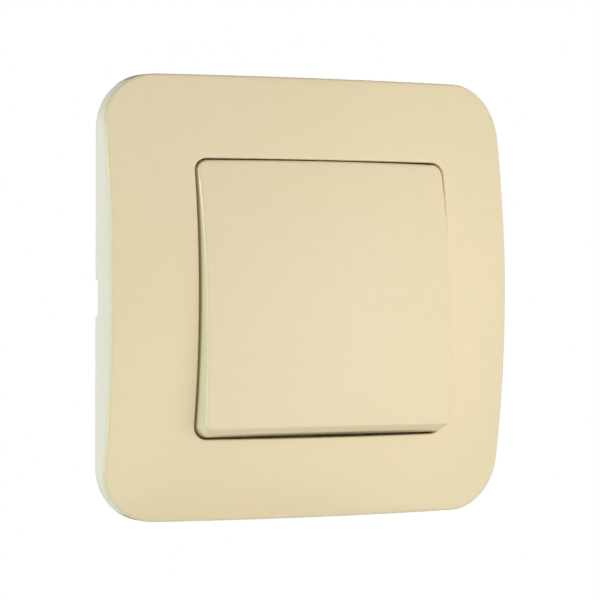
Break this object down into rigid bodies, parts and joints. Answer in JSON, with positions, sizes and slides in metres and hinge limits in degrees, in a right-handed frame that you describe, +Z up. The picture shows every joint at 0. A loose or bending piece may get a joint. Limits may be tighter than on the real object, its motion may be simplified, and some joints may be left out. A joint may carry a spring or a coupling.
{
  "type": "rocker wall switch",
  "caption": "Flush wall light switch with a wide domed rocker key in a square cover frame with round corners, on a steel strap with claws and a contact mechanism for a round wall box.",
  "frame": {"origin": "centre of the circle of box-screw holes, on the rear face of the mounting strap, which is the face of the wall", "axes": "+X to the right as the user sees the switch, +Y into the wall, +Z up"},
  "size_m": [0.082, 0.0418, 0.082],
  "materials": {
    "cream_plastic": "glossy moulded cream plastic",
    "white_plastic": "satin moulded polyamide, off-white",
    "grey_plastic": "matte moulded thermoset, mid grey",
    "red_plastic": "satin moulded acetal, dull red",
    "spring_steel": "bright drawn spring wire",
    "zinc_steel": "pressed sheet steel, blue-bright zinc plated",
    "zinc_screw": "zinc plated screw steel",
    "nickel_brass": "nickel plated brass rivet",
    "contact_brass": "stamped brass strip",
    "contact_silver": "silver alloy contact face, satin"
  },
  "bodies": {
    "housing": {"mounting_strap": "zinc_steel", "mechanism_base": "grey_plastic", "mechanism_cover": "white_plastic", "housing_rivets": "nickel_brass", "fixed_contact_tip": "contact_silver", "common_terminal_strip": "contact_brass", "load_terminal_strip": "contact_brass", "cover_frame": "cream_plastic"},
    "key": {"rocker_key": "cream_plastic", "rocker_carrier": "white_plastic", "plunger_spring": "spring_steel"},
    "plunger": {"plunger": "red_plastic"},
    "contact": {"contact_rocker": "contact_brass", "moving_contact_tip": "contact_silver"},
    "terminal_screw_common": {"terminal_screw_common": "zinc_screw"},
    "terminal_cage_common": {"terminal_cage_common": "zinc_steel"},
    "terminal_screw_load": {"terminal_screw_load": "zinc_screw"},
    "terminal_cage_load": {"terminal_cage_load": "zinc_steel"},
    "claw_screw_left": {"claw_screw_left": "zinc_screw"},
    "claw_nut_left": {"claw_nut_left": "zinc_screw"},
    "claw_left": {"claw_left": "zinc_steel"},
    "claw_screw_right": {"claw_screw_right": "zinc_screw"},
    "claw_nut_right": {"claw_nut_right": "zinc_screw"},
    "claw_right": {"claw_right": "zinc_steel"}
  },
  "joints": [
    {"name": "rocker_tilt", "type": "hinge", "parent": "housing", "child": "key", "pos_m": [0, -0.0085, 0], "axis": [1, 0, 0], "range_deg": [0, 9.2]},
    {"name": "plunger_slide", "type": "slide", "parent": "key", "child": "plunger", "axis": [0, -0.9968, 0.0802], "range_m": [0, 0.001], "stiffness_N_per_m": 400, "springref_m": -0.002, "deforming": ["plunger_spring"]},
    {"name": "contact_tilt", "type": "hinge", "parent": "housing", "child": "contact", "pos_m": [0, 0.0058, 0], "axis": [1, 0, 0], "range_deg": [-12.1, 0]},
    {"name": "terminal_screw_common_turn", "type": "hinge", "parent": "housing", "child": "terminal_screw_common", "pos_m": [-0.012, 0.018, -0.0129], "axis": [0, -1, 0], "range_deg": [0, 1321]},
    {"name": "terminal_cage_common_rise", "type": "slide", "parent": "housing", "child": "terminal_cage_common", "axis": [0, 1, 0], "range_m": [0, 0.0022]},
    {"name": "terminal_screw_load_turn", "type": "hinge", "parent": "housing", "child": "terminal_screw_load", "pos_m": [0.012, 0.018, -0.0129], "axis": [0, -1, 0], "range_deg": [0, 1321]},
    {"name": "terminal_cage_load_rise", "type": "slide", "parent": "housing", "child": "terminal_cage_load", "axis": [0, 1, 0], "range_m": [0, 0.0022]},
    {"name": "claw_screw_left_turn", "type": "hinge", "parent": "housing", "child": "claw_screw_left", "pos_m": [-0.023, 0, 0], "axis": [0, 1, 0], "range_deg": [0, 3901]},
    {"name": "claw_nut_left_slide", "type": "slide", "parent": "housing", "child": "claw_nut_left", "axis": [0, -1, 0], "range_m": [0, 0.0065]},
    {"name": "claw_left_spread", "type": "slide", "parent": "housing", "child": "claw_left", "axis": [-0.3714, -0.9285, 0], "range_m": [0, 0.00701]},
    {"name": "claw_screw_right_turn", "type": "hinge", "parent": "housing", "child": "claw_screw_right", "pos_m": [0.023, 0, 0], "axis": [0, 1, 0], "range_deg": [0, 3901]},
    {"name": "claw_nut_right_slide", "type": "slide", "parent": "housing", "child": "claw_nut_right", "axis": [0, -1, 0], "range_m": [0, 0.0065]},
    {"name": "claw_right_spread", "type": "slide", "parent": "housing", "child": "claw_right", "axis": [0.3714, -0.9285, 0], "range_m": [0, 0.00701]}
  ],
  "couplings": [
    {"joint": "contact_tilt", "follows": "rocker_tilt", "ratio": -1.3043},
    {"joint": "terminal_screw_common_turn", "follows": "terminal_cage_common_rise", "rad_per_m": 10472},
    {"joint": "terminal_screw_load_turn", "follows": "terminal_cage_load_rise", "rad_per_m": 10472},
    {"joint": "claw_screw_left_turn", "follows": "claw_nut_left_slide", "rad_per_m": 10472},
    {"joint": "claw_left_spread", "follows": "claw_nut_left_slide", "ratio": 1.077},
    {"joint": "claw_screw_right_turn", "follows": "claw_nut_right_slide", "rad_per_m": 10472},
    {"joint": "claw_right_spread", "follows": "claw_nut_right_slide", "ratio": 1.077}
  ]
}
